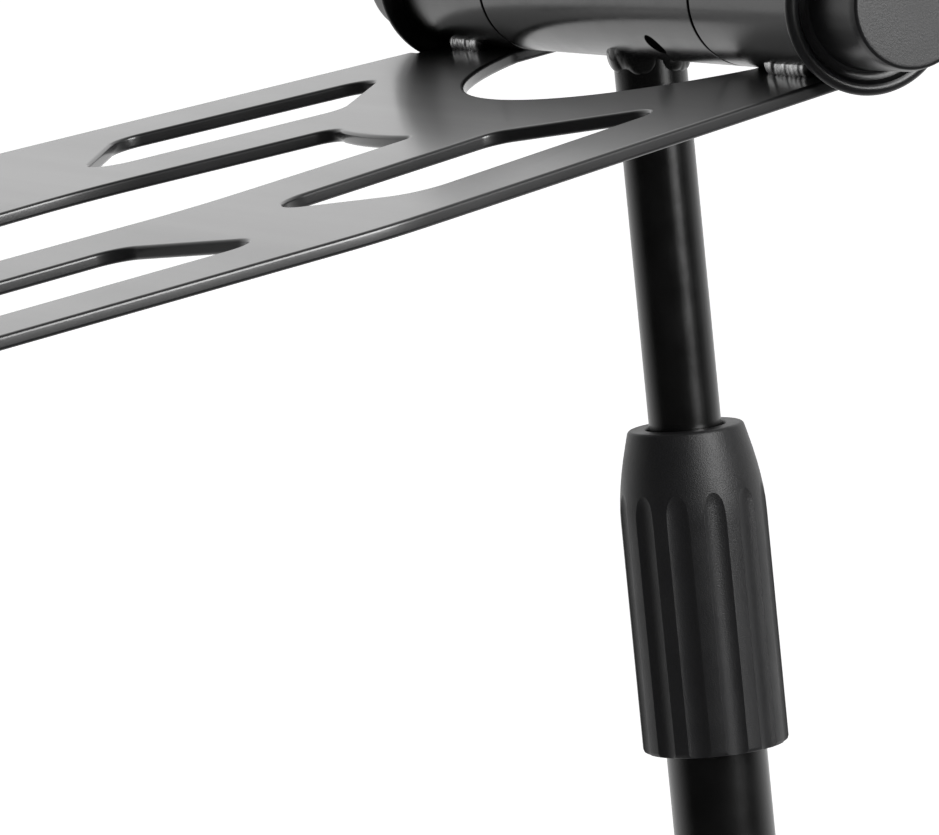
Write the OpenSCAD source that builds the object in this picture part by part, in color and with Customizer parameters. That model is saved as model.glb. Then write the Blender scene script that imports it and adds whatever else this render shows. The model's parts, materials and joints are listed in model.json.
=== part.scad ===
// Folding music stand: openwork steel desk on a friction hinge, telescopic column with a
// twist clutch, three folding legs. The frame's origin is on the floor under the column,
// +Z runs up the column, X along the hinge axis, and the desk reaches out towards -Y.

/* [Column] */
// Height of the hinge axis with the column pushed down
hinge_h = 740; // [730:5:780]
// Outer radius of the upper tube
upper_r = 8.0; // [7.9:0.1:8.2]
// Outer radius of the lower tube
lower_r = 11.17; // [11.1:0.01:11.4]
// Wall of the column tubes
tube_wall = 1.5; // [1.2:0.1:1.5]

/* [Clutch] */
// Distance from the hinge axis down to the top of the grip
grip_drop = 96; // [90:1:100]
// Length of the grip
grip_len = 72; // [68:1:74]
// Largest radius of the grip
grip_r = 16.15; // [15.9:0.05:16.5]
// Radius of the grip at its top edge
grip_top_r = 12.9; // [12.6:0.1:13.2]
// Number of finger flutes
flute_n = 12; // [10:1:14]

/* [Desk] */
// Droop of the desk's outer end below level
desk_tilt = 7.3; // [0:0.1:12]
// Distance from the hinge axis to the top of the plate
plate_drop = 14.1; // [13.9:0.1:14.4]
// Thickness of the plate
plate_t = 3.0; // [2.5:0.1:3.0]
// Reach of the plate from the hinge axis
plate_len = 303; // [296:1:310]
// Half width of the plate where its sides turn parallel
plate_half_w = 128; // [126:1:130]
// Radius of the U-shaped notch between the ears
notch_r = 71.5; // [70:0.5:72.5]
// Distance from the hinge axis to the end of the centre gap
gap_end = 262; // [255:1:266]

/* [Hinge] */
// Outer radius of the hinge tubes
hinge_r = 15.1; // [15:0.05:15.2]
// Half length of the centre tube, up to its seams
seam_x = 54.4; // [52:0.1:56]
// Right-hand end of the right sleeve
right_end = 107.6; // [106:0.1:109]
// Left-hand end of the left sleeve
left_end = 99.6; // [99.4:0.1:101]
// Radius of the clamp knobs' flanges
knob_r = 19.24; // [18.8:0.02:19.6]
// Length of a clamp knob
knob_len = 21.6; // [20:0.1:23]

/* [Base] */
// Height of the leg pivots
pivot_z = 56; // [54:1:60]
// Distance of the leg pivots from the column axis
pivot_r = 34; // [33:1:36]
// Length of a leg from its pivot to its foot
leg_len = 292; // [280:1:300]
// Radius of the leg tubes
leg_r = 8; // [7.8:0.1:8.2]

/* [Hidden] */
$fn = 96;

coat = "#1b1b1c";
plastic = "#242425";
rubber = "#161616";
steel = "#8e9093";
zinc = "#b4b6b8";
nylon = "#d8d6cc";

gap = 0.3;             // air between pieces of different bodies
run_fit = 0.05;        // radial clearance of a running fit
arc_step = 6;          // degrees per straight piece of a rounded outline corner

lower_in = lower_r - tube_wall;
upper_in = upper_r - tube_wall;
grip_top = hinge_h - grip_drop;
grip_low = grip_top - grip_len;

hub_r = 42;
hub_low = 40;
hub_top = 68;
boss_top = 92;
socket_z = 47;
plug_top = 71;
upper_low = plug_top + 4;
knuckle_w = 12;
eye_r = 8;
pin_r = 3;
neck = 18;             // pivot to the end of the leg tube
foot_axis_z = 12;      // height of the leg's axis at the foot
leg_slope = asin((pivot_z - foot_axis_z) / leg_len);
leg_angle_a = -90;
leg_angle_b = 30;
leg_angle_c = 150;

liner_r = 12.55;
sleeve_in = liner_r + run_fit;
rod_r = 4;
plug_len = 7;
washer_t = 0.6;

// ---- helpers ----

function unit(v) = v / norm(v);

// Points of the arc that rounds corner b of the path a-b-c
function corner_arc(a, b, c, r) =
    let (
        d1 = unit(a - b),
        d2 = unit(c - b),
        half = acos(d1 * d2) / 2,
        centre = b + unit(d1 + d2) * r / sin(half),
        p1 = b + d1 * r / tan(half),
        p2 = b + d2 * r / tan(half),
        a1 = atan2(p1.y - centre.y, p1.x - centre.x),
        a2 = atan2(p2.y - centre.y, p2.x - centre.x),
        turn = (a2 - a1 + 540) % 360 - 180,
        n = max(3, ceil(abs(turn) / arc_step))
    )
    [for (i = [0 : n]) centre + r * [cos(a1 + turn * i / n), sin(a1 + turn * i / n)]];

// An outline of [v, u, corner radius] triples as [x, y] points; u runs out towards -Y
function outline(path) =
    let (n = len(path), p = [for (q = path) [q[0], -q[1]]])
    [for (i = [0 : n - 1])
        each (path[i][2] == 0 ? [p[i]] :
            corner_arc(p[(i + n - 1) % n], p[i], p[(i + 1) % n], path[i][2]))];

function mirrored(path) = [for (i = [len(path) - 1 : -1 : 0]) [-path[i][0], path[i][1], path[i][2]]];

// A ring or disc lying along X from x1 to x2
module ring_x(x1, x2, r_out, r_in = 0) {
    translate([x1, 0, hinge_h]) rotate([0, 90, 0]) difference() {
        cylinder(r = r_out, h = x2 - x1);
        if (r_in > 0) translate([0, 0, -1]) cylinder(r = r_in, h = x2 - x1 + 2);
    }
}

// A tube standing along Z
module tube(z1, z2, r_out, r_in) {
    translate([0, 0, z1]) difference() {
        cylinder(r = r_out, h = z2 - z1);
        translate([0, 0, -1]) cylinder(r = r_in, h = z2 - z1 + 2);
    }
}

// Places children in the desk's tilted frame, with its origin on the hinge axis
module desk_frame() {
    translate([0, 0, hinge_h]) rotate([desk_tilt, 0, 0]) children();
}

// Places children with X along a leg, away from its pivot
module leg_frame(angle) {
    rotate([0, 0, angle]) translate([pivot_r, 0, pivot_z]) rotate([0, leg_slope, 0]) children();
}

// ---- base ----

module base_hub() {
    slot_w = knuckle_w + 2 * gap;
    slot_in = pivot_r - eye_r - 0.6;
    slot_floor = pivot_z - eye_r - 0.5;
    color(coat) difference() {
        union() {
            translate([0, 0, hub_low]) cylinder(r1 = hub_r - 3, r2 = hub_r, h = 3);
            translate([0, 0, hub_low + 3]) cylinder(r = hub_r, h = hub_top - hub_low - 5);
            translate([0, 0, hub_top - 2]) cylinder(r1 = hub_r, r2 = hub_r - 2, h = 2);
            translate([0, 0, hub_top]) cylinder(r1 = 20, r2 = 16, h = boss_top - hub_top);
        }
        translate([0, 0, socket_z]) cylinder(r = lower_r, h = boss_top);
        translate([0, 0, hub_low - 1]) cylinder(r = 4.3, h = 20);
        for (angle = [leg_angle_a, leg_angle_b, leg_angle_c]) rotate([0, 0, angle]) {
            translate([slot_in, -slot_w / 2, slot_floor]) cube([hub_r, slot_w, hub_top]);
            translate([pivot_r, 20, pivot_z]) rotate([90, 0, 0]) cylinder(r = pin_r, h = 40);
        }
    }
}

module leg_pins() {
    half = 14;
    color(zinc) for (angle = [leg_angle_a, leg_angle_b, leg_angle_c])
        rotate([0, 0, angle]) translate([pivot_r, half, pivot_z])
            rotate([90, 0, 0]) cylinder(r = pin_r, h = 2 * half);
}

module tube_plug() {
    color(steel) tube(socket_z, plug_top, lower_in, 4);
}

module base_washer() {
    color(zinc) tube(hub_low - 1.6, hub_low, 12, 4.2);
}

module base_bolt() {
    head_h = 5.3;
    head_low = hub_low - 1.6 - head_h;
    color(zinc) union() {
        translate([0, 0, head_low]) cylinder(r = 7.5, h = head_h, $fn = 6);
        translate([0, 0, head_low + head_h]) cylinder(r = 4, h = 24);
    }
}

module lower_tube() {
    color(coat) tube(socket_z, grip_low + 34, lower_r, lower_in);
}

module leg_knuckle(angle) {
    bar_h = 12;
    color(coat) leg_frame(angle) difference() {
        union() {
            translate([0, knuckle_w / 2, 0]) rotate([90, 0, 0]) cylinder(r = eye_r, h = knuckle_w);
            translate([0, -knuckle_w / 2, -bar_h / 2]) cube([neck - 1, knuckle_w, bar_h]);
            translate([neck - 1.5, 0, 0]) rotate([0, 90, 0]) cylinder(r = leg_r, h = 1.5);
            translate([neck, 0, 0]) rotate([0, 90, 0]) cylinder(r = leg_r - tube_wall, h = 20);
        }
        translate([0, knuckle_w, 0]) rotate([90, 0, 0]) cylinder(r = pin_r + run_fit, h = 2 * knuckle_w);
    }
}

module leg_tube(angle) {
    color(coat) leg_frame(angle) translate([neck, 0, 0]) rotate([0, 90, 0]) difference() {
        cylinder(r = leg_r, h = leg_len - neck);
        translate([0, 0, -1]) cylinder(r = leg_r - tube_wall, h = leg_len);
    }
}

module foot(angle) {
    skin = 2.4;
    sleeve_l = 34;
    reach = pivot_r + leg_len * cos(leg_slope) - 4;
    color(rubber) difference() {
        union() {
            leg_frame(angle) translate([leg_len - sleeve_l, 0, 0]) rotate([0, 90, 0])
                cylinder(r = leg_r + skin, h = sleeve_l + 2);
            leg_frame(angle) translate([leg_len + 2, 0, 0]) sphere(r = leg_r + skin);
            rotate([0, 0, angle]) translate([reach, 0, 0]) cylinder(r = 12, h = foot_axis_z);
            rotate([0, 0, angle]) translate([reach, 0, foot_axis_z])
                cylinder(r1 = 12, r2 = 9, h = 3);
        }
        leg_frame(angle) rotate([0, 90, 0]) cylinder(r = leg_r, h = leg_len);
        translate([0, 0, -40]) cylinder(r = 500, h = 40);
    }
}

// ---- clutch ----

module clutch_collet() {
    nut_low = grip_low + 8;
    nut_top = grip_low + 34;
    cone_top = grip_top - 7;
    color(nylon) difference() {
        union() {
            translate([0, 0, nut_low]) cylinder(r = lower_r + 1.6, h = nut_top - nut_low);
            translate([0, 0, nut_top]) cylinder(r1 = lower_r + 1.6, r2 = 9.8, h = cone_top - nut_top);
        }
        translate([0, 0, nut_low - 1]) cylinder(r = lower_r, h = nut_top - nut_low + 1);
        cylinder(r = upper_r + run_fit, h = grip_top);
        for (angle = [0, 90]) rotate([0, 0, angle])
            translate([-20, -0.7, nut_top + 4]) cube([40, 1.4, 60]);
    }
}

module clutch_grip() {
    flute_r = 6;
    flute_phase = -10;
    flute_c = grip_r + flute_r - 0.95;
    flute_top = grip_top - 15 - flute_r * 0.42;
    color(plastic) difference() {
        rotate_extrude() polygon([
            [13.3, grip_low], [grip_r - 0.7, grip_low], [grip_r, grip_low + 0.9],
            [grip_r, grip_top - 19], [grip_r - 0.22, grip_top - 15.5],
            [grip_r - 0.75, grip_top - 12], [grip_top_r + 0.55, grip_top - 4],
            for (a = [0 : 15 : 90]) [grip_top_r - 1.7 + 1.9 * cos(a), grip_top - 1.9 + 1.9 * sin(a)],
            [upper_r + 0.9, grip_top], [upper_r + 0.35, grip_top - 0.6],
            [upper_r + 0.35, grip_top - 5], [10.5, grip_top - 6.5], [13.3, grip_low + 35]
        ]);
        for (i = [0 : flute_n - 1]) rotate([0, 0, flute_phase + i * 360 / flute_n]) {
            translate([flute_c, 0, grip_low - 10]) cylinder(r = flute_r, h = flute_top - grip_low + 10);
            translate([flute_c, 0, flute_top]) sphere(r = flute_r);
        }
    }
}

// ---- sliding and swivelling column ----

module guide_bush() {
    color(nylon) tube(upper_low + 6, upper_low + 46, lower_in - 0.07, upper_r + run_fit);
}

module upper_tube() {
    color(coat) difference() {
        tube(upper_low, hinge_h - 11, upper_r, upper_in);
        ring_x(-20, 20, hinge_r);
    }
}

module column_end_cap() {
    color(plastic) union() {
        translate([0, 0, upper_low - 3]) cylinder(r = upper_r + 1, h = 3);
        translate([0, 0, upper_low]) cylinder(r = upper_in, h = 14);
    }
}

module retaining_ring() {
    color(zinc) tube(upper_low + 46 + gap, upper_low + 47.5 + gap, upper_r + 1.2, upper_r);
}

module column_weld() {
    flare = 3.2;
    rise = 6.5;
    color(steel) difference() {
        union() {
            translate([0, 0, hinge_h - 21]) cylinder(r1 = upper_r + 0.4, r2 = upper_r + flare, h = rise);
            translate([0, 0, hinge_h - 21 + rise]) cylinder(r = upper_r + flare, h = 4.5);
        }
        translate([0, 0, hinge_h - 30]) cylinder(r = upper_r, h = 30);
        ring_x(-20, 20, hinge_r);
    }
}

// ---- hinge ----

module hinge_centre_tube() {
    hole_x = 27.5;
    hole_angle = 48;
    color(coat) difference() {
        ring_x(-seam_x + washer_t, seam_x - washer_t, hinge_r, liner_r);
        translate([hole_x, 0, hinge_h]) rotate([180 - hole_angle, 0, 0]) cylinder(r = 3, h = 30);
    }
}

module hinge_liner() {
    color(steel) ring_x(-left_end + plug_len + 1, right_end - plug_len - 1, liner_r, 10.5);
}

module rod_carrier() {
    color(steel) for (x = [-40, 36]) ring_x(x, x + 5, 10.5, rod_r);
}

module tie_rod() {
    overlap = 14;
    color(zinc) ring_x(-left_end - overlap, right_end + overlap, rod_r);
}

module friction_washers() {
    color(plastic) {
        ring_x(seam_x - washer_t, seam_x, hinge_r - 0.45, liner_r);
        ring_x(-seam_x, -seam_x + washer_t, hinge_r - 0.45, liner_r);
    }
}

module sleeve_left() {
    color(coat) ring_x(-left_end, -seam_x - gap, hinge_r, sleeve_in);
}

module sleeve_right() {
    color(coat) ring_x(seam_x + gap, right_end, hinge_r, sleeve_in);
}

module end_plug_left() {
    color(plastic) ring_x(-left_end, -left_end + plug_len, sleeve_in, rod_r + 0.6);
}

module end_plug_right() {
    color(plastic) ring_x(right_end - plug_len, right_end, sleeve_in, rod_r + 0.6);
}

// ---- desk ----

ear_in = 61;           // inner side of an ear
ear_back = -6;         // how far an ear reaches back under the hinge tube
side_slope = 0.216;    // spread of the plate's sides near the hinge
kink_u = 123;
notch_c = -31;         // centre of the notch and of the gap's rounded root
root_r = 102.8;
knob_gap = 0.8;        // between the plate and the left knob's flange

function root_u(v) = notch_c + sqrt(root_r * root_r - v * v);

// The left half's cut-outs end a few millimetres nearer the hinge than the right half's
module slot_openings() {
    right_slots = [[[46.8, 61.5, 6], [60.6, 125.9, 11], [97.6, 102.1, 10], [79.9, 34, 6.6]],
        [[59.5, 153.8, 8], [58.4, 250, 4], [101.2, 232, 6], [102.5, 136, 7.5]]];
    left_slots = [[[45.8, 57, 7], [58.5, 116.1, 9], [95.1, 92.3, 8], [79.3, 31.7, 6.6]],
        [[57.4, 144, 8], [58.4, 250, 4], [101.2, 232, 6], [100, 126.2, 7.5]]];
    for (slot = right_slots) polygon(outline(slot));
    scale([-1, 1, 1]) for (slot = left_slots) polygon(outline(slot));
}

module centre_gap() {
    right_corner = 22.6;
    left_corner = 20.6;
    right_side = [[right_corner, root_u(right_corner), 3.5], [33.9, 126.7, 90], [27.8, gap_end, 9]];
    left_side = [[left_corner, root_u(left_corner) - 0.6, 5], [33.9, 124.2, 90], [27.8, gap_end, 9]];
    root = [for (v = [-16 : 2 : 18]) [v, root_u(v), 0]];
    polygon(outline(concat(right_side, mirrored(left_side), root)));
}

module desk_plate() {
    half = [[100.8 + side_slope * ear_back, ear_back, 1.5], [plate_half_w - 0.1, kink_u, 90],
        [plate_half_w - 2.9, plate_len, 26]];
    color(coat) difference() {
        desk_frame() translate([0, 0, -plate_drop - plate_t]) linear_extrude(plate_t) difference() {
            polygon(outline(concat(half, mirrored(half))));
            translate([0, -notch_c]) circle(r = notch_r, $fn = 180);
            translate([-ear_in, -7]) square([2 * ear_in, 20]);
            centre_gap();
            slot_openings();
        }
        ring_x(-left_end, right_end, hinge_r);
        ring_x(-plate_half_w, -left_end + gap, knob_r + knob_gap);
    }
}

// A row of overlapping weld ripples where an ear meets its sleeve
module ear_weld(x_mid, ripple_n) {
    ripple_r = 2.9;
    pitch = 2.3;
    color(steel) difference() {
        desk_frame() for (i = [0 : ripple_n - 1])
            translate([x_mid + (i - (ripple_n - 1) / 2) * pitch, -7.2, -13.5]) sphere(r = ripple_r, $fn = 48);
        ring_x(-left_end, right_end, hinge_r);
        desk_frame() translate([-120, -30, -plate_drop - plate_t - 10])
            cube([240, 60, plate_t + 10]);
    }
}

module ear_weld_left() {
    ear_weld(-83, 6);
}

module ear_weld_right() {
    ear_weld(83, 8);
}

// ---- clamp knobs ----

nut_at = 4;            // from a knob's inner face to its nut
nut_len = 7;
nut_r = 7.5;

module knob() {
    lip = 1.45;
    hub = 13.9;
    face = 12.8;
    color(plastic) difference() {
        rotate_extrude() polygon([
            [0, 0], [knob_r - lip, 0],
            for (a = [-90 : 15 : 90]) [knob_r - lip + lip * cos(a), lip + lip * sin(a)],
            [16.9, 2.75], [16.4, 2.2], [15.6, 1.5], [14.6, 1.4], [hub, 2.2],
            [hub - 0.3, knob_len - 2.2], [hub - 0.75, knob_len - 0.9],
            [face, knob_len - 0.15], [face - 0.5, knob_len], [0, knob_len]
        ]);
        translate([0, 0, -1]) cylinder(r = rod_r + 0.6, h = 16.5);
        translate([0, 0, -1]) cylinder(r = nut_r, h = nut_at + nut_len + 1, $fn = 6);
    }
}

module knob_left() {
    translate([-left_end - gap, 0, hinge_h]) rotate([0, -90, 0]) knob();
}

module knob_right() {
    translate([right_end + gap, 0, hinge_h]) rotate([0, 90, 0]) knob();
}

module knob_nut() {
    color(zinc) translate([0, 0, nut_at]) difference() {
        cylinder(r = nut_r, h = nut_len, $fn = 6);
        translate([0, 0, -1]) cylinder(r = rod_r + run_fit, h = nut_len + 2);
    }
}

module knob_nut_left() {
    translate([-left_end - gap, 0, hinge_h]) rotate([0, -90, 0]) knob_nut();
}

module knob_nut_right() {
    translate([right_end + gap, 0, hinge_h]) rotate([0, 90, 0]) knob_nut();
}

base_hub();
leg_pins();
tube_plug();
base_washer();
base_bolt();
lower_tube();
clutch_collet();
clutch_grip();
guide_bush();
upper_tube();
column_end_cap();
retaining_ring();
column_weld();
hinge_centre_tube();
hinge_liner();
rod_carrier();
tie_rod();
friction_washers();
sleeve_left();
sleeve_right();
end_plug_left();
end_plug_right();
desk_plate();
ear_weld_left();
ear_weld_right();
knob_left();
knob_right();
knob_nut_left();
knob_nut_right();
leg_knuckle(leg_angle_a);  // leg_knuckle_a
leg_knuckle(leg_angle_b);  // leg_knuckle_b
leg_knuckle(leg_angle_c);  // leg_knuckle_c
leg_tube(leg_angle_a);  // leg_tube_a
leg_tube(leg_angle_b);  // leg_tube_b
leg_tube(leg_angle_c);  // leg_tube_c
foot(leg_angle_a);  // foot_a
foot(leg_angle_b);  // foot_b
foot(leg_angle_c);  // foot_c
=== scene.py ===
import json
import math
import random

import bpy
from mathutils import Matrix, Vector


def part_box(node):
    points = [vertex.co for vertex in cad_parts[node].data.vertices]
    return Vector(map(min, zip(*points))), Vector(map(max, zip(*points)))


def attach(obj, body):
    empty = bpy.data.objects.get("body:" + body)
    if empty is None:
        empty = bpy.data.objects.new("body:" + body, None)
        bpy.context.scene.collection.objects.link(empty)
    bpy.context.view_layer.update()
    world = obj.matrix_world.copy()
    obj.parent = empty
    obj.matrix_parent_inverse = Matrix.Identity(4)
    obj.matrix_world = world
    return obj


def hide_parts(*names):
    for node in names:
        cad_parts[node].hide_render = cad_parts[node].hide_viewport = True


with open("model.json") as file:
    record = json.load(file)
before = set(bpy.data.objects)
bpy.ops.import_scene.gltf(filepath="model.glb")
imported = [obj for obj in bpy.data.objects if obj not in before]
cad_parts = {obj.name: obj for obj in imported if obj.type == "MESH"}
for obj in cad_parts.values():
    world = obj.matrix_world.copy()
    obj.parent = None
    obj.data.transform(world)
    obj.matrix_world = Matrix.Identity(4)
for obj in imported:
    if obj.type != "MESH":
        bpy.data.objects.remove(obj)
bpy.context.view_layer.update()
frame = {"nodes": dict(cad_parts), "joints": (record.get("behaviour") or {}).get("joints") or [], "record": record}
mm = 0.001

tubeLow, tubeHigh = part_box("hinge_centre_tube")
hinge = {
    "z": (tubeLow.z + tubeHigh.z) / 2,
    "r": (tubeHigh.z - tubeLow.z) / 2,
}
print("frame loaded, hinge axis at", round(hinge["z"], 4))


# colours and nodes

def hexLinear(text):
    # an sRGB colour such as "#0a0a0b" as linear red, green, blue and alpha
    def channel(two):
        value = int(two, 16) / 255
        return value / 12.92 if value <= 0.04045 else ((value + 0.055) / 1.055) ** 2.4
    return tuple(channel(text[i:i + 2]) for i in (1, 3, 5)) + (1.0,)


def addNode(tree, kind, settings=None, links=None):
    # settings name a property or an input, links give an input its source socket
    node = tree.nodes.new(kind)
    for key, value in (settings or {}).items():
        if isinstance(key, str) and hasattr(node, key):
            setattr(node, key, value)
        else:
            node.inputs[key].default_value = value
    for key, socket in (links or {}).items():
        tree.links.new(socket, node.inputs[key])
    return node


def newMaterial(name):
    material = bpy.data.materials.new(name)
    material.use_nodes = True
    tree = material.node_tree
    tree.nodes.clear()
    output = addNode(tree, "ShaderNodeOutputMaterial")
    shader = addNode(tree, "ShaderNodeBsdfPrincipled")
    tree.links.new(shader.outputs["BSDF"], output.inputs["Surface"])
    place = addNode(tree, "ShaderNodeTexCoord").outputs["Object"]
    return material, tree, shader, place


def fadeBetween(tree, factor, low, high, start, stop):
    # a smooth change between two colours or greys as factor goes from start to stop
    ramp = addNode(tree, "ShaderNodeValToRGB", links={"Fac": factor})
    ramp.color_ramp.elements[0].position = start
    ramp.color_ramp.elements[1].position = stop
    ramp.color_ramp.elements[0].color = low
    ramp.color_ramp.elements[1].color = high
    return ramp.outputs["Color"]


def grey(value):
    return (value, value, value, 1.0)


def wireUp(tree, shader, tone, rough, bump):
    tree.links.new(tone, shader.inputs["Base Color"])
    tree.links.new(rough, shader.inputs["Roughness"])
    tree.links.new(bump.outputs["Normal"], shader.inputs["Normal"])


# powder coat: cured polyester, smooth semi-gloss black with a faint orange peel about 1.2 mm across
powderCoat = {
    "base": "#060606", "thin": "#0b0b0b", "roughLow": 0.2, "roughHigh": 0.27, "ior": 1.6,
    "peelScale": 1 / (1.2 * mm), "peelHeight": 0.012 * mm, "cloudScale": 1 / (9 * mm),
}


def makePowderCoat(name, values):
    material, tree, shader, place = newMaterial(name)
    peel = addNode(tree, "ShaderNodeTexNoise", {"Scale": values["peelScale"], "Detail": 2.0},
                   {"Vector": place})
    cloud = addNode(tree, "ShaderNodeTexNoise",
                    {"Scale": values["cloudScale"], "Detail": 5.0, "Roughness": 0.6},
                    {"Vector": place})
    tone = fadeBetween(tree, cloud.outputs["Fac"], hexLinear(values["base"]),
                       hexLinear(values["thin"]), 0.35, 0.75)
    rough = fadeBetween(tree, cloud.outputs["Fac"], grey(values["roughLow"]),
                        grey(values["roughHigh"]), 0.3, 0.7)
    bump = addNode(tree, "ShaderNodeBump", {"Distance": values["peelHeight"]},
                   {"Height": peel.outputs["Fac"]})
    shader.inputs["IOR"].default_value = values["ior"]
    wireUp(tree, shader, tone, rough, bump)
    return material


# plate coat: the same black coat over rolled sheet, glossier, with the sheet's fine roll lines
# showing through along the hinge direction
plateCoat = {
    "base": "#0a0a0b", "thin": "#101011", "roughLow": 0.4, "roughHigh": 0.48, "ior": 1.55,
    "gloss": 0.8, "glossRough": 0.17,
    "lineScale": 1 / (0.9 * mm), "lineStretch": 0.02, "lineHeight": 0.0025 * mm,
    "cloudScale": 1 / (22 * mm), "speckScale": 1 / (1.6 * mm), "speckHeight": 0.004 * mm,
}


def makePlateCoat(name, values):
    material, tree, shader, place = newMaterial(name)
    along = addNode(tree, "ShaderNodeMapping", {"Scale": (values["lineStretch"], 1.0, 1.0)},
                    {"Vector": place})
    lines = addNode(tree, "ShaderNodeTexNoise", {"Scale": values["lineScale"], "Detail": 3.0},
                    {"Vector": along.outputs["Vector"]})
    cloud = addNode(tree, "ShaderNodeTexNoise", {"Scale": values["cloudScale"], "Detail": 4.0},
                    {"Vector": along.outputs["Vector"]})
    speck = addNode(tree, "ShaderNodeTexNoise", {"Scale": values["speckScale"], "Detail": 2.0},
                    {"Vector": place})
    tone = fadeBetween(tree, cloud.outputs["Fac"], hexLinear(values["base"]),
                       hexLinear(values["thin"]), 0.3, 0.8)
    rough = fadeBetween(tree, cloud.outputs["Fac"], grey(values["roughLow"]),
                        grey(values["roughHigh"]), 0.3, 0.7)
    lineBump = addNode(tree, "ShaderNodeBump", {"Distance": values["lineHeight"]},
                       {"Height": lines.outputs["Fac"]})
    speckBump = addNode(tree, "ShaderNodeBump", {"Distance": values["speckHeight"]},
                        {"Height": speck.outputs["Fac"], "Normal": lineBump.outputs["Normal"]})
    shader.inputs["IOR"].default_value = values["ior"]
    shader.inputs["Coat Weight"].default_value = values["gloss"]
    shader.inputs["Coat Roughness"].default_value = values["glossRough"]
    wireUp(tree, shader, tone, rough, speckBump)
    tree.links.new(speckBump.outputs["Normal"], shader.inputs["Coat Normal"])
    return material


# moulded plastic: glass-filled nylon or ABS out of a spark-eroded mould, a grain of small
# rounded pits that breaks a highlight into sparkles
gripPlastic = {"base": "#111112", "light": "#1b1b1c", "roughLow": 0.37, "roughHigh": 0.45,
               "ior": 1.44, "grain": 0.24 * mm, "grainHeight": 0.035 * mm}
knobPlastic = {"base": "#0f0f10", "light": "#161617", "roughLow": 0.3, "roughHigh": 0.38,
               "ior": 1.5, "grain": 0.4 * mm, "grainHeight": 0.008 * mm}
washerPlastic = {"base": "#0a0a0a", "light": "#121212", "roughLow": 0.5, "roughHigh": 0.6,
                 "ior": 1.48, "grain": 0.5 * mm, "grainHeight": 0.01 * mm}
nylonPlastic = {"base": "#cfcabb", "light": "#e0dccf", "roughLow": 0.4, "roughHigh": 0.5,
                "ior": 1.53, "grain": 0.6 * mm, "grainHeight": 0.01 * mm}


def makeMoulded(name, values):
    material, tree, shader, place = newMaterial(name)
    # pits as wide as the grain, a finer grain among them, and a slow change of gloss over them
    pits = addNode(tree, "ShaderNodeTexVoronoi",
                   {"feature": "SMOOTH_F1", "Scale": 1 / values["grain"], "Smoothness": 0.6},
                   {"Vector": place})
    fine = addNode(tree, "ShaderNodeTexNoise", {"Scale": 1.7 / values["grain"], "Detail": 3.0},
                   {"Vector": place})
    flow = addNode(tree, "ShaderNodeTexNoise", {"Scale": 0.03 / values["grain"], "Detail": 3.0},
                   {"Vector": place})
    height = addNode(tree, "ShaderNodeMath", {"operation": "ADD"},
                     {0: pits.outputs["Distance"], 1: fine.outputs["Fac"]})
    tone = fadeBetween(tree, fine.outputs["Fac"], hexLinear(values["base"]),
                       hexLinear(values["light"]), 0.35, 0.7)
    rough = fadeBetween(tree, flow.outputs["Fac"], grey(values["roughLow"]),
                        grey(values["roughHigh"]), 0.3, 0.7)
    bump = addNode(tree, "ShaderNodeBump", {"Distance": values["grainHeight"]},
                   {"Height": height.outputs["Value"]})
    shader.inputs["IOR"].default_value = values["ior"]
    wireUp(tree, shader, tone, rough, bump)
    return material


# steel: bare weld bead, zinc plate and drawn stock, each with uneven marks around a millimetre wide
weldBead = {"base": "#d0d0d0", "dark": "#8c8c8c", "roughLow": 0.22, "roughHigh": 0.36,
            "mark": 1.6 * mm, "markHeight": 0.02 * mm}
zincPlate = {"base": "#b9bbbe", "dark": "#8f9194", "roughLow": 0.25, "roughHigh": 0.4,
             "mark": 0.6 * mm, "markHeight": 0.01 * mm}
drawnSteel = {"base": "#8a8b8d", "dark": "#5b5c5e", "roughLow": 0.3, "roughHigh": 0.5,
              "mark": 0.8 * mm, "markHeight": 0.015 * mm}


def makeMetal(name, values):
    material, tree, shader, place = newMaterial(name)
    marks = addNode(tree, "ShaderNodeTexNoise",
                    {"Scale": 1 / values["mark"], "Detail": 4.0, "Roughness": 0.6},
                    {"Vector": place})
    tone = fadeBetween(tree, marks.outputs["Fac"], hexLinear(values["dark"]),
                       hexLinear(values["base"]), 0.3, 0.6)
    rough = fadeBetween(tree, marks.outputs["Fac"], grey(values["roughHigh"]),
                        grey(values["roughLow"]), 0.3, 0.7)
    bump = addNode(tree, "ShaderNodeBump", {"Distance": values["markHeight"]},
                   {"Height": marks.outputs["Fac"]})
    shader.inputs["Metallic"].default_value = 1.0
    wireUp(tree, shader, tone, rough, bump)
    return material


# rubber: moulded, matt, with a bloom of fine dust
footRubber = {"base": "#0e0e0e", "light": "#1d1d1c", "roughLow": 0.6, "roughHigh": 0.8,
              "ior": 1.5, "grain": 0.8 * mm, "grainHeight": 0.03 * mm}

materials = {
    "black_coat": makePowderCoat("powderCoatOnTube", powderCoat),
    "plate_coat": makePlateCoat("powderCoatOnSheet", plateCoat),
    "grip_plastic": makeMoulded("mouldedGripNylon", gripPlastic),
    "knob_plastic": makeMoulded("mouldedKnobAbs", knobPlastic),
    "washer_plastic": makeMoulded("washerAcetal", washerPlastic),
    "nylon": makeMoulded("naturalNylon", nylonPlastic),
    "weld_steel": makeMetal("weldBeadSteel", weldBead),
    "raw_steel": makeMetal("drawnSteel", drawnSteel),
    "zinc": makeMetal("zincPlatedSteel", zincPlate),
    "rubber": makeMoulded("mouldedRubber", footRubber),
}
print("materials made:", len(materials))


# modelling helpers: profiles and sizes are in mm, round parts get more sides the closer they show

mergeGap = 0.002 * mm


def takeUp(obj):
    bpy.ops.object.select_all(action="DESELECT")
    obj.select_set(True)
    bpy.context.view_layer.objects.active = obj
    return obj


def applyPlace(obj):
    takeUp(obj)
    bpy.ops.object.transform_apply(location=True, rotation=True, scale=True)
    return obj


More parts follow.
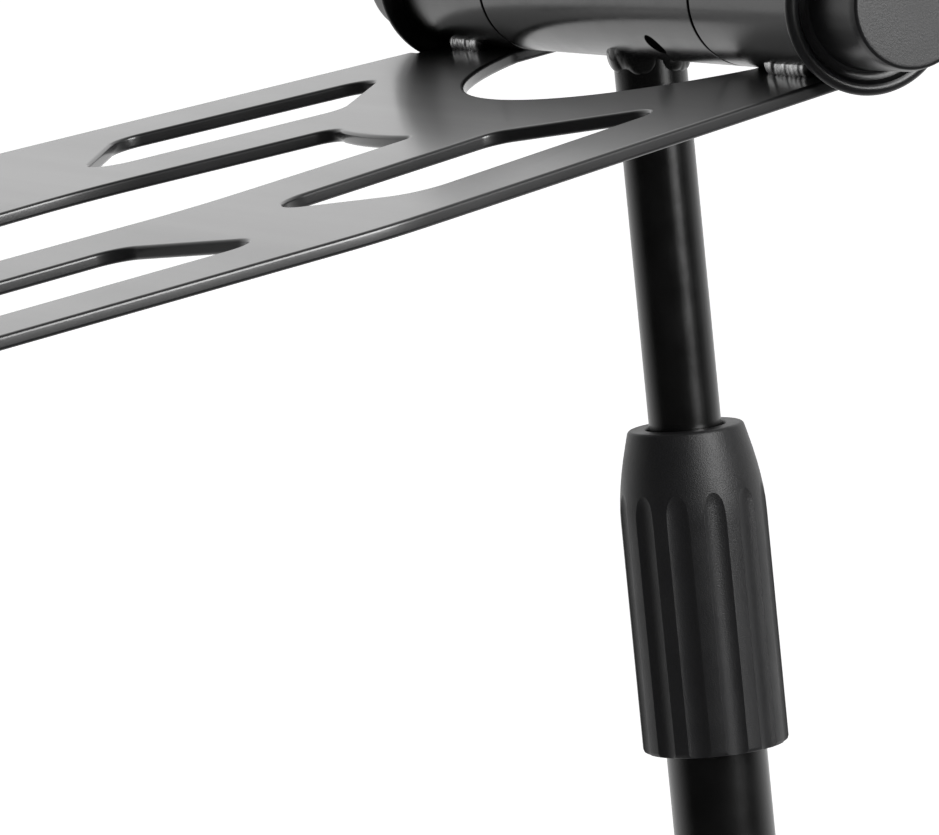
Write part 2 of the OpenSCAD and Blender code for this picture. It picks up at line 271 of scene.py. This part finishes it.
def applyModifiers(obj):
    takeUp(obj)
    for modifier in list(obj.modifiers):
        bpy.ops.object.modifier_apply(modifier=modifier.name)
    return obj


def tidyMesh(obj):
    takeUp(obj)
    bpy.ops.object.mode_set(mode="EDIT")
    bpy.ops.mesh.select_all(action="SELECT")
    bpy.ops.mesh.remove_doubles(threshold=mergeGap)
    bpy.ops.mesh.normals_make_consistent(inside=False)
    bpy.ops.object.mode_set(mode="OBJECT")
    return obj


def arc(centre, radius, start, stop, steps):
    # points of an arc in a profile or outline, angles in degrees
    turn = [math.radians(start + (stop - start) * i / steps) for i in range(steps + 1)]
    return [(centre[0] + radius * math.cos(a), centre[1] + radius * math.sin(a)) for a in turn]


def turned(profile, sides=96):
    # a ring is extruded and resized from point to point of a (radius, height) profile in mm;
    # a profile that ends where it starts makes a closed ring, any other gets flat ends
    points = [(r * mm, h * mm) for r, h in profile]
    bpy.ops.object.select_all(action="DESELECT")
    bpy.ops.mesh.primitive_circle_add(vertices=sides, radius=points[0][0], fill_type="NOTHING")
    obj = bpy.context.object
    bpy.ops.object.mode_set(mode="EDIT")
    bpy.ops.mesh.select_all(action="SELECT")
    bpy.ops.transform.translate(value=(0, 0, points[0][1]))
    closed = profile[0] == profile[-1]
    if not closed:
        bpy.ops.mesh.edge_face_add()
    for (r1, h1), (r2, h2) in zip(points, points[1:]):
        if closed:
            bpy.ops.mesh.extrude_edges_move(TRANSFORM_OT_translate={"value": (0, 0, h2 - h1)})
        else:
            bpy.ops.mesh.extrude_region_move(TRANSFORM_OT_translate={"value": (0, 0, h2 - h1)})
        bpy.ops.transform.resize(value=(r2 / r1, r2 / r1, 1), center_override=(0, 0, h2))
    bpy.ops.object.mode_set(mode="OBJECT")
    return tidyMesh(obj)


def block(size, place, turn=0.0):
    # a box with its middle at a place, turned about Z
    bpy.ops.object.select_all(action="DESELECT")
    bpy.ops.mesh.primitive_cube_add(size=1)
    obj = bpy.context.object
    obj.scale = [s * mm for s in size]
    obj.location = [p * mm for p in place]
    obj.rotation_euler = (0, 0, turn)
    return applyPlace(obj)


def tubeProfile(low, high, outer, inner, edge):
    # both outer ends are rounded by two facets each
    corner = 0.3 * edge
    return [(inner, low), (outer - edge, low), (outer - corner, low + corner), (outer, low + edge),
            (outer, high - edge), (outer - corner, high - corner), (outer - edge, high),
            (inner, high), (inner, low)]


def layAlongX(obj, x, z, flip=False):
    # turns a piece made along Z so that it lies along X from x; x and z are in metres
    obj.rotation_euler = (0, math.radians(-90 if flip else 90), 0)
    obj.location = (x, 0, z)
    return applyPlace(obj)


def cutWith(obj, cutter, operation="DIFFERENCE"):
    takeUp(obj)
    modifier = obj.modifiers.new("cut", "BOOLEAN")
    modifier.operation = operation
    modifier.solver = "EXACT"
    modifier.object = cutter
    applyModifiers(obj)
    bpy.data.objects.remove(cutter, do_unlink=True)
    return obj


def roundEdges(obj, width, segments, angle=32):
    modifier = obj.modifiers.new("bevel", "BEVEL")
    modifier.width = width * mm
    modifier.segments = segments
    modifier.limit_method = "ANGLE"
    modifier.angle_limit = math.radians(angle)
    modifier.harden_normals = False
    return applyModifiers(obj)


def joined(objects):
    takeUp(objects[0])
    for obj in objects:
        obj.select_set(True)
    bpy.ops.object.join()
    return bpy.context.object


def finished(obj, name, body, node, slot, smooth=30):
    # last step of every piece: place applied, name, shading, finish, body and the node it replaces
    applyPlace(obj)
    obj.name = name
    obj.data.name = name
    takeUp(obj)
    bpy.ops.object.shade_smooth_by_angle(angle=math.radians(smooth))
    weighted = obj.modifiers.new("flatFaces", "WEIGHTED_NORMAL")
    weighted.keep_sharp = True
    weighted.weight = 80
    applyModifiers(obj)
    obj.data.materials.clear()
    obj.data.materials.append(materials[slot])
    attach(obj, body)
    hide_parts(node)
    return obj


# desk plate

# outlines are corners of (v, u, radius): v along the hinge, u away from it, in the plate's plane;
# the first corner of each gap gives its u as a distance past the arc at the plate's root
deskPlate = {
    "tilt": 7.3, "drop": 14.1, "thick": 3.0, "edge": 0.8, "length": 303, "halfWidth": 127.9,
    "sideTaper": 2.8, "kinkU": 123, "kinkRound": 90, "outerRound": 26, "earIn": 61, "earBack": -6,
    "sideStart": 100.8, "sideSlope": 0.216, "notchCentre": -31, "notchRound": 71.5,
    "rootRound": 102.8, "rootFrom": -14, "rootTo": 18, "arcStep": 3, "knobRound": 20.04,
    "knobSide": -99.3, "earRound": 1.0, "sideRound": 1.5, "notchSteps": 40,
    "rightGap": [(22.6, 0, 3.5), (33.9, 126.7, 90), (27.8, 262, 9)],
    "leftGap": [(20.6, -0.6, 5), (33.9, 124.2, 90), (27.8, 262, 9)],
    "rightSlots": [[(46.8, 61.5, 6), (60.6, 125.9, 11), (97.6, 102.1, 10), (79.9, 34, 6.6)],
                   [(59.5, 153.8, 8), (58.4, 250, 4), (101.2, 232, 6), (102.5, 136, 7.5)]],
    "leftSlots": [[(45.8, 57, 7), (58.5, 116.1, 9), (95.1, 92.3, 8), (79.3, 31.7, 6.6)],
                  [(57.4, 144, 8), (58.4, 250, 4), (101.2, 232, 6), (100, 126.2, 7.5)]],
}


def roundedOutline(path, step):
    # every corner with a radius becomes an arc of facets no longer than the step, in degrees
    points = []
    for i, (v, u, radius) in enumerate(path):
        corner = Vector((v, -u))
        if radius == 0:
            points.append(corner)
            continue
        before = Vector((path[i - 1][0], -path[i - 1][1]))
        after = Vector((path[(i + 1) % len(path)][0], -path[(i + 1) % len(path)][1]))
        toBefore, toAfter = (before - corner).normalized(), (after - corner).normalized()
        half = toBefore.angle(toAfter) / 2
        centre = corner + (toBefore + toAfter).normalized() * radius / math.sin(half)
        first = corner + toBefore * radius / math.tan(half) - centre
        last = corner + toAfter * radius / math.tan(half) - centre
        start = math.degrees(math.atan2(first.y, first.x))
        turn = (math.degrees(math.atan2(last.y, last.x)) - start + 540) % 360 - 180
        steps = max(3, math.ceil(abs(turn) / step))
        points += [Vector(p) for p in arc(centre, radius, start, start + turn, steps)]
    return points


def mirroredPath(path):
    return [(-v, u, radius) for v, u, radius in reversed(path)]


def plateOutlines(values):
    side = values["sideStart"] + values["sideSlope"] * values["earBack"]
    half = [(side, values["earBack"], values["sideRound"]),
            (values["halfWidth"], values["kinkU"], values["kinkRound"]),
            (values["halfWidth"] - values["sideTaper"], values["length"], values["outerRound"])]
    # the notch runs from ear to ear as one arc round its own centre
    reach = math.degrees(math.asin(values["earIn"] / values["notchRound"]))
    notchArc = arc((0, -values["notchCentre"]), values["notchRound"], -90 - reach, -90 + reach,
                   values["notchSteps"])
    ear = (values["earIn"], values["earBack"], values["earRound"])
    notch = [(-ear[0], *ear[1:]), *[(v, -u, 0) for v, u in notchArc], ear]

    def rootU(v):
        return values["notchCentre"] + math.sqrt(values["rootRound"] ** 2 - v * v)

    gap = []
    for (v, drop, radius), *rest in (values["rightGap"], values["leftGap"]):
        gap.append([(v, rootU(v) + drop, radius), *rest])
    root = [(v, rootU(v), 0) for v in range(values["rootFrom"], values["rootTo"] + 1, 2)]
    paths = [half + mirroredPath(half) + notch, gap[0] + mirroredPath(gap[1]) + root]
    paths += values["rightSlots"] + [mirroredPath(slot) for slot in values["leftSlots"]]
    return [roundedOutline(path, values["arcStep"]) for path in paths]


def makeDeskPlate(values):
    curve = bpy.data.curves.new("deskPlate", "CURVE")
    curve.dimensions = "2D"
    curve.fill_mode = "BOTH"
    for outline in plateOutlines(values):
        spline = curve.splines.new("POLY")
        spline.points.add(len(outline) - 1)
        for point, place in zip(spline.points, outline):
            point.co = (place.x * mm, place.y * mm, 0, 1)
        spline.use_cyclic_u = True
    curve.extrude = (values["thick"] / 2 - values["edge"]) * mm
    curve.bevel_depth = values["edge"] * mm
    curve.bevel_resolution = 3
    curve.offset = -values["edge"] * mm
    plate = bpy.data.objects.new("deskPlate", curve)
    bpy.context.scene.collection.objects.link(plate)
    takeUp(plate)
    bpy.ops.object.convert(target="MESH")
    plate = bpy.context.object
    plate.location = (0, 0, -(values["drop"] + values["thick"] / 2) * mm)
    applyPlace(plate)
    plate.rotation_euler = (math.radians(values["tilt"]), 0, 0)
    plate.location = (0, 0, hinge["z"])
    applyPlace(plate)
    tidyMesh(plate)
    # the corner beside the left knob is cut back round its flange
    relief = turned([(values["knobRound"], 0), (values["knobRound"], 30)])
    return cutWith(plate, layAlongX(relief, values["knobSide"] * mm, hinge["z"], flip=True))


plate = finished(makeDeskPlate(deskPlate), "deskPlate", "desk", "desk_plate", "plate_coat", smooth=40)
print("desk plate:", len(plate.data.polygons), "faces")


# hinge tubes

hingeTube = {"wall": 2.5, "edge": 0.3, "sides": 128, "holeX": 27.5, "holeAngle": 48, "holeR": 3.0,
             "drillFrom": 5, "drillTo": 25, "drillSides": 40}


def makeHingeTube(node, values):
    low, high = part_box(node)
    outer = hinge["r"] / mm
    tube = turned(tubeProfile(0, (high.x - low.x) / mm, outer, outer - values["wall"],
                              values["edge"]), values["sides"])
    return layAlongX(tube, low.x, hinge["z"])


centreTube = makeHingeTube("hinge_centre_tube", hingeTube)
drill = turned([(hingeTube["holeR"], hingeTube["drillFrom"]),
                (hingeTube["holeR"], hingeTube["drillTo"])], hingeTube["drillSides"])
drill.rotation_euler = (math.radians(180 - hingeTube["holeAngle"]), 0, 0)
drill.location = (hingeTube["holeX"] * mm, 0, hinge["z"])
applyPlace(drill)
cutWith(centreTube, drill)
finished(centreTube, "hingeCentreTube", "column", "hinge_centre_tube", "black_coat")
for side in ("left", "right"):
    finished(makeHingeTube("sleeve_" + side, hingeTube), "sleeve" + side.title(), "desk",
             "sleeve_" + side, "black_coat")
print("hinge tubes made")


# weld beads

puddleShape = {"sides": 24, "rings": 16, "spread": 0.08, "lean": 0.2, "twist": 0.1, "voxel": 0.22,
               "slag": 1.6, "slagMiddle": 0.6, "soften": 0.5, "softenRounds": 2}


def weldRun(places, size, seed, ripple, values=puddleShape):
    # overlapping puddles laid one on the next, melted together and slightly uneven
    chance = random.Random(seed)
    smallest, largest = 1 - values["spread"], 1 + values["spread"]
    puddles = []
    for place, scale, turn in places:
        bpy.ops.object.select_all(action="DESELECT")
        bpy.ops.mesh.primitive_uv_sphere_add(segments=values["sides"], ring_count=values["rings"],
                                             radius=size * mm, location=place)
        puddle = bpy.context.object
        puddle.scale = [axis * chance.uniform(smallest, largest) for axis in scale]
        puddle.rotation_euler = (chance.uniform(-values["lean"], values["lean"]),
                                 chance.uniform(-values["lean"], values["lean"]),
                                 turn + chance.uniform(-values["twist"], values["twist"]))
        puddles.append(puddle)
    bead = applyPlace(joined(puddles))
    remesh = bead.modifiers.new("melt", "REMESH")
    remesh.mode = "VOXEL"
    remesh.voxel_size = values["voxel"] * mm
    noise = bpy.data.textures.new("slag", "CLOUDS")
    noise.noise_scale = values["slag"] * mm
    displace = bead.modifiers.new("uneven", "DISPLACE")
    displace.texture = noise
    displace.strength = ripple * mm
    displace.mid_level = values["slagMiddle"]
    soften = bead.modifiers.new("soften", "SMOOTH")
    soften.factor = values["soften"]
    soften.iterations = values["softenRounds"]
    return applyModifiers(bead)


# each run is the middle of the bead along the hinge and its number of puddles
earWeld = {"runs": {"left": (-83.5, 7), "right": (82, 9)}, "pitch": 2.1, "size": 3.0, "u": 6.9,
           "below": 12.6, "turn": 0.8, "scale": (0.75, 1.35, 1.0), "ripple": 0.06, "firstSeed": 3}
tilt = math.radians(deskPlate["tilt"])


def deskPoint(v, u, below):
    # a point given along the hinge, out along the plate and below the hinge axis, all in mm
    return Vector((v * mm, (-u * math.cos(tilt) + below * math.sin(tilt)) * mm,
                   hinge["z"] + (-u * math.sin(tilt) - below * math.cos(tilt)) * mm))


for seed, (side, (centre, count)) in enumerate(earWeld["runs"].items(), earWeld["firstSeed"]):
    places = []
    for i in range(count):
        v = centre + (i - (count - 1) / 2) * earWeld["pitch"]
        places.append((deskPoint(v, earWeld["u"], earWeld["below"]), earWeld["scale"],
                       earWeld["turn"]))
    bead = weldRun(places, earWeld["size"], seed, earWeld["ripple"])
    finished(bead, "earWeld" + side.title(), "desk", "ear_weld_" + side, "weld_steel", smooth=75)

# two runs round the pole, each a middle angle and a half span in degrees, that thin out towards
# their ends and leave the pole bare between them
columnWeld = {"ring": 7.4, "runs": [(-96, 62), (92, 74)], "count": 12, "size": 3.2,
              "scale": (0.58, 0.95, 1.3), "endHeight": 0.85, "ripple": 0.08, "seed": 11}
places = []
for middle, span in columnWeld["runs"]:
    for i in range(columnWeld["count"]):
        along = 2 * i / (columnWeld["count"] - 1) - 1
        angle = math.radians(middle + along * span)
        x, y = columnWeld["ring"] * math.cos(angle), columnWeld["ring"] * math.sin(angle)
        saddle = math.sqrt((hinge["r"] / mm) ** 2 - y * y)
        swell = (columnWeld["endHeight"]
                 + (1 - columnWeld["endHeight"]) * math.cos(along * math.pi / 2))
        wide, long, tall = columnWeld["scale"]
        places.append((Vector((x * mm, y * mm, hinge["z"] - saddle * mm)),
                       (wide, long, tall * swell), angle))
bead = weldRun(places, columnWeld["size"], columnWeld["seed"], columnWeld["ripple"])
finished(bead, "columnWeld", "column", "column_weld", "black_coat", smooth=60)
print("welds made")


# clamp knobs

clampKnob = {"flange": 19.2, "lip": 1.45, "grooveOut": 16.5, "grooveDepth": 1.3, "hub": 13.9,
             "face": 12.9, "faceRound": 0.75, "faceIn": 9.0, "bore": 4.6, "boreDepth": 15.5,
             "sides": 128}


def knobProfile(values, length):
    # from the bottom of the nut pocket out over the flange to the flat face
    lip, flange, groove, deep = (values[key] for key in ("lip", "flange", "grooveOut", "grooveDepth"))
    hub, face, bend = (values[key] for key in ("hub", "face", "faceRound"))
    outline = [(values["bore"], values["boreDepth"]), (values["bore"], 0.0), (flange - lip, 0.0)]
    outline += arc((flange - lip, lip), lip, -75, 110, 12)
    # down into the groove, up its inner side, then the hub's slightly tapered wall
    outline += [(groove + 0.35, 2 * lip - 0.25), (groove, 2 * lip - 0.7),
                (groove - 0.45, deep + 0.25), (groove - 1.2, deep), (hub + 0.7, deep + 0.1),
                (hub + 0.15, deep + 0.7), (hub, deep + 1.6), (hub - 0.25, length - 2.6),
                (hub - 0.45, length - 1.4)]
    outline += arc((face - 0.35, length - bend), bend, 15, 90, 6)
    return outline + [(face - 0.8, length), (values["faceIn"], length)]


for side, sign in (("left", -1), ("right", 1)):
    low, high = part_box("knob_" + side)
    knob = turned(knobProfile(clampKnob, (high.x - low.x) / mm), clampKnob["sides"])
    layAlongX(knob, high.x if sign < 0 else low.x, hinge["z"], flip=sign < 0)
    finished(knob, "clampKnob" + side.title(), "knob_" + side, "knob_" + side, "knob_plastic")
print("knobs made")


# column and clutch

columnTube = {"wall": 1.5, "edge": 0.4, "saddleHalf": 30, "saddleSides": 128}


def makeColumnTube(node, values):
    low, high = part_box(node)
    outer = (high.x - low.x) / 2 / mm
    return turned(tubeProfile(low.z / mm, high.z / mm, outer, outer - values["wall"],
                              values["edge"]))


# the upper tube's end is cut to sit against the round of the hinge tube
upperTube = makeColumnTube("upper_tube", columnTube)
half = columnTube["saddleHalf"]
saddle = turned([(hinge["r"] / mm, 0), (hinge["r"] / mm, 2 * half)], columnTube["saddleSides"])
cutWith(upperTube, layAlongX(saddle, -half * mm, hinge["z"]))
finished(upperTube, "upperTube", "column", "upper_tube", "black_coat")
finished(makeColumnTube("lower_tube", columnTube), "lowerTube", "base", "lower_tube", "black_coat")

# steps of the bore are (radius, distance below the top); flutes end in a cap that starts below the
# top and rises over its own height
clutchGrip = {"flutes": 12, "phase": -8, "fluteR": 5.2, "fluteDepth": 0.85, "fluteSides": 48,
              "capHeight": 9.0, "capStart": 16.5, "capStep": 6, "topDown": 0.5, "skirt": 13.3,
              "skirtHeight": 35, "topR": 12.9, "edge": 0.3, "sides": 144,
              "bore": [(9.3, 0), (8.95, 0.12), (8.8, 0.5), (8.8, 2), (8.35, 2.2), (8.35, 5),
                       (10.5, 6.5)]}


def makeGrip(values):
    low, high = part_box("clutch_grip")
    outer = (high.x - low.x) / 2 / mm
    bottom, top = low.z / mm, high.z / mm - values["topDown"]
    # a rounded foot, a straight wall, a long shoulder and a sharp rim round the bore
    profile = [(values["skirt"], bottom), (outer - 0.7, bottom), (outer - 0.25, bottom + 0.25),
               (outer, bottom + 0.9), (outer, top - 20), (outer - 0.06, top - 17.5),
               (outer - 0.28, top - 15), (outer - 0.68, top - 12), (outer - 1.2, top - 9),
               (outer - 1.85, top - 6), (values["topR"] + 0.6, top - 2.8)]
    profile += arc((values["topR"] - 0.9, top - 1.0), 1.0, 12, 90, 6)
    profile += [(r, top - down) for r, down in values["bore"]]
    profile += [(values["skirt"], bottom + values["skirtHeight"]), (values["skirt"], bottom)]
    grip = turned(profile, values["sides"])
    centre = outer + values["fluteR"] - values["fluteDepth"]
    cutterProfile = [(values["fluteR"], bottom - 5)]
    for angle in range(0, 90, values["capStep"]):
        a = math.radians(angle)
        cutterProfile.append((values["fluteR"] * math.cos(a),
                              top - values["capStart"] + values["capHeight"] * math.sin(a)))
    cutters = []
    for i in range(values["flutes"]):
        angle = math.radians(values["phase"] + i * 360 / values["flutes"])
        cutter = turned(cutterProfile, values["fluteSides"])
        cutter.location = (centre * math.cos(angle) * mm, centre * math.sin(angle) * mm, 0)
        cutters.append(applyPlace(cutter))
    cutWith(grip, joined(cutters))
    return roundEdges(grip, values["edge"], 2, 18)


grip = makeGrip(clutchGrip)
finished(grip, "clutchGrip", "clutch", "clutch_grip", "grip_plastic", smooth=24)
print("column and clutch made:", len(grip.data.polygons), "faces")


# base hub, legs and feet

# the boss is a foot, given as (radius, height above the hub's top), and a rounded rim
baseHub = {"slot": 12.6, "slotIn": 25.4, "slotFloor": 47.5, "slotTall": 60, "slotRound": 1.2,
           "top": 68, "topRound": 3, "bossFoot": [(24, 0), (21, 0.6), (19.4, 2.6), (18.6, 5)],
           "bossTop": 92, "rim": 14.8, "rimRound": 1.5, "boltR": 4.3, "floor": 7, "edge": 0.8,
           "sides": 128}


def legPivot(letter):
    return Vector(next(joint["pos_m"] for joint in frame["joints"]
                       if joint["name"] == "leg_fold_" + letter))


def makeHub(values):
    low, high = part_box("base_hub")
    outer = (high.x - low.x) / 2 / mm
    lowerR = (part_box("lower_tube")[1].x) / mm
    bottom, top = low.z / mm, values["top"]
    boltR, floorZ = values["boltR"], bottom + values["floor"]
    profile = [(boltR, bottom), (outer - 3.2, bottom), (outer - 1.2, bottom + 0.8),
               (outer - 0.1, bottom + 2.6), (outer, bottom + 4)]
    profile += arc((outer - values["topRound"], top - values["topRound"]), values["topRound"],
                   0, 90, 8)
    profile += [(r, top + up) for r, up in values["bossFoot"]]
    profile += arc((values["rim"], values["bossTop"] - values["rimRound"]), values["rimRound"],
                   10, 90, 5)
    profile += [(lowerR, values["bossTop"]), (lowerR, floorZ), (boltR, floorZ), (boltR, bottom)]
    hub = turned(profile, values["sides"])
    for letter in "abc":
        angle = math.atan2(legPivot(letter).y, legPivot(letter).x)
        middle = values["slotIn"] + outer / 2
        slot = block((outer, values["slot"], values["slotTall"]),
                     (middle * math.cos(angle), middle * math.sin(angle),
                      values["slotFloor"] + values["slotTall"] / 2), angle)
        roundEdges(slot, values["slotRound"], 3)
        cutWith(hub, slot)
    return roundEdges(hub, values["edge"], 3, 40)


finished(makeHub(baseHub), "baseHub", "base", "base_hub", "black_coat")

leg = {"pivotZ": 56, "endZ": 12, "length": 292, "neck": 18, "knuckle": 12, "bar": 12, "eye": 8,
       "pin": 3.05, "tube": 8.0, "wall": 1.5, "spigot": 18, "edge": 0.4, "sides": 64}
leg["slope"] = math.asin((leg["pivotZ"] - leg["endZ"]) / leg["length"])


def layOnLeg(obj, letter):
    # turns a piece made along Z from a pivot at the origin so that it lies along its leg
    pivot = legPivot(letter)
    turn = Matrix.Rotation(math.atan2(pivot.y, pivot.x), 4, "Z")
    dip = Matrix.Rotation(math.radians(90) + leg["slope"], 4, "Y")
    obj.matrix_world = Matrix.Translation(pivot) @ turn @ dip
    return applyPlace(obj)


def pegPart(radius, start, stop, sides, across=False):
    # a plain cylinder along Z, or across the leg
    peg = turned([(radius, start), (radius, stop)], sides)
    if across:
        peg.rotation_euler = (math.radians(90), 0, 0)
        applyPlace(peg)
    return peg


def makeKnuckle(values):
    # the bar is a hair thinner than the eye, so that the two join cleanly
    neck, half = values["neck"], values["knuckle"] / 2
    bar = block((values["bar"], values["knuckle"] - 0.1, neck - 1), (0, 0, neck / 2))
    inner = values["tube"] - values["wall"]
    for part in (pegPart(values["eye"], -half, half, values["sides"], across=True),
                 pegPart(values["tube"], neck - 1.5, neck, values["sides"]),
                 pegPart(inner, neck - 1, neck + values["spigot"], values["sides"])):
        cutWith(bar, part, "UNION")
    cutWith(bar, pegPart(values["pin"], -20, 20, 48, across=True))
    return roundEdges(bar, 0.5, 2, 40)


# the pad's profile is (radius, height above the floor)
rubberFoot = {"skin": 2.36, "sleeve": 34, "ribs": 4, "ribFrom": 5, "ribPitch": 4, "ribDepth": 0.6,
              "endOut": 2, "sides": 72, "padBack": 4,
              "pad": [(10.8, 0), (11.7, 0.4), (12, 1.4), (12, 10), (11.2, 12), (9.6, 13.6), (8, 14.4)]}


def makeFoot(values, letter):
    bore, length = leg["tube"], leg["length"]
    rim, start = bore + values["skin"], length - values["sleeve"]
    profile = [(bore, length), (bore, start), (rim - 1.0, start), (rim - 0.3, start + 0.3),
               (rim, start + 1.0)]
    for i in range(values["ribs"]):
        h = start + values["ribFrom"] + i * values["ribPitch"]
        low = rim - values["ribDepth"]
        profile += [(rim, h), (low, h + 0.4), (low, h + 1.2), (rim, h + 1.6)]
    profile += arc((0, length + values["endOut"]), rim, 0, 84, 12)
    foot = layOnLeg(turned(profile, values["sides"]), letter)
    pivot = legPivot(letter)
    reach = pivot.xy.length / mm + length * math.cos(leg["slope"]) - values["padBack"]
    pad = turned(values["pad"], values["sides"])
    pad.location = (*(pivot.xy.normalized() * reach * mm), 0)
    return cutWith(foot, applyPlace(pad), "UNION")


for letter in "abc":
    body, capital = "leg_" + letter, letter.upper()
    tube = turned(tubeProfile(leg["neck"], leg["length"], leg["tube"], leg["tube"] - leg["wall"],
                              leg["edge"]), leg["sides"])
    knuckle = layOnLeg(makeKnuckle(leg), letter)
    finished(layOnLeg(tube, letter), "legTube" + capital, body, "leg_tube_" + letter, "black_coat")
    finished(knuckle, "legKnuckle" + capital, body, "leg_knuckle_" + letter, "black_coat")
    finished(makeFoot(rubberFoot, letter), "foot" + capital, body, "foot_" + letter, "rubber",
             smooth=35)
print("base and legs made")


# nodes that keep their own mesh get their finish
slots = {s["node"]: s["material_slot"] for s in frame["record"]["subparts"]}
for name, node in frame["nodes"].items():
    if not node.material_slots:
        node.data.materials.append(materials[slots[name]])
    for materialSlot in node.material_slots:
        materialSlot.material = materials[slots[name]]


# camera

# place in mm from the middle of the hinge, angles in degrees, lens and sensor in mm, clip in metres
view = {"place": (1563.565, -723.514, 126.585), "azimuth": -66.731, "elevation": 7.166,
        "roll": -5.733, "lens": 303.03, "sensor": 36, "clip": 200}
cameraData = bpy.data.cameras.new("viewCamera")
cameraData.sensor_width = view["sensor"]
cameraData.lens = view["lens"]
cameraData.clip_end = view["clip"]
camera = bpy.data.objects.new("viewCamera", cameraData)
bpy.context.scene.collection.objects.link(camera)
turn = (Matrix.Rotation(-math.radians(view["azimuth"]), 3, "Z")
        @ Matrix.Rotation(math.radians(90 - view["elevation"]), 3, "X")
        @ Matrix.Rotation(math.radians(view["roll"]), 3, "Z"))
camera.rotation_euler = turn.to_euler()
camera.location = Vector((0, 0, hinge["z"])) + Vector(view["place"]) * mm
bpy.context.scene.camera = camera

# studio: white cove behind the stand, darker room on the camera's side, one soft box to its right
# strengths, box power in watts, sizes and distances in metres; fades run over the cosine of the
# angle from the camera's side
studio = {"white": 1.2, "dark": 0.03, "whiteUpTo": -0.75, "darkFrom": 0.35, "seen": 1.05,
          "boxPower": 62, "boxSize": (0.9, 1.6), "boxAzimuth": 46, "boxHeight": 0.75,
          "boxDistance": 2.2, "aimDown": 0.05, "floorSize": 60, "floorTone": "#e8e8e8",
          "floorRough": 0.9, "floorGlow": 0.75}
towardsCamera = Vector((*view["place"][:2], 0)).normalized()

world = bpy.data.worlds.new("studio")
bpy.context.scene.world = world
world.use_nodes = True
sky = world.node_tree
sky.nodes.clear()
direction = addNode(sky, "ShaderNodeTexCoord").outputs["Generated"]
facing = addNode(sky, "ShaderNodeVectorMath",
                 {"operation": "DOT_PRODUCT", 1: tuple(towardsCamera)}, {0: direction})
shade = addNode(sky, "ShaderNodeMapRange",
                {"interpolation_type": "SMOOTHSTEP", "From Min": studio["whiteUpTo"],
                 "From Max": studio["darkFrom"], "To Min": studio["white"],
                 "To Max": studio["dark"]}, {"Value": facing.outputs["Value"]})
# the camera itself sees an even white
path = addNode(sky, "ShaderNodeLightPath")
lightSide = addNode(sky, "ShaderNodeBackground", links={"Strength": shade.outputs["Result"]})
seenSide = addNode(sky, "ShaderNodeBackground", {"Strength": studio["seen"]})
mixed = addNode(sky, "ShaderNodeMixShader",
                links={0: path.outputs["Is Camera Ray"], 1: lightSide.outputs[0],
                       2: seenSide.outputs[0]})
addNode(sky, "ShaderNodeOutputWorld", links={"Surface": mixed.outputs[0]})


# the box's azimuth is counted from the camera's side, positive to the camera's right
light = bpy.data.lights.new("softBox", "AREA")
light.shape = "RECTANGLE"
light.size, light.size_y = studio["boxSize"]
light.energy = studio["boxPower"]
softBox = bpy.data.objects.new("softBox", light)
bpy.context.scene.collection.objects.link(softBox)
aim = Vector((0, 0, hinge["z"] - studio["aimDown"]))
angle = math.atan2(towardsCamera.y, towardsCamera.x) + math.radians(studio["boxAzimuth"])
softBox.location = aim + Vector((math.cos(angle) * studio["boxDistance"],
                                 math.sin(angle) * studio["boxDistance"], studio["boxHeight"]))
softBox.rotation_euler = (aim - softBox.location).to_track_quat("-Z", "Y").to_euler()

bpy.ops.object.select_all(action="DESELECT")
bpy.ops.mesh.primitive_plane_add(size=studio["floorSize"])
floor = bpy.context.object
floor.name = "floor"
floorMaterial, tree, shader, place = newMaterial("paleFloor")
shader.inputs["Base Color"].default_value = hexLinear(studio["floorTone"])
shader.inputs["Roughness"].default_value = studio["floorRough"]
shader.inputs["Emission Color"].default_value = grey(1)
shader.inputs["Emission Strength"].default_value = studio["floorGlow"]
floor.data.materials.append(floorMaterial)
floor.visible_glossy = False

bpy.context.scene.view_settings.view_transform = "Standard"
print("camera, light and floor set")
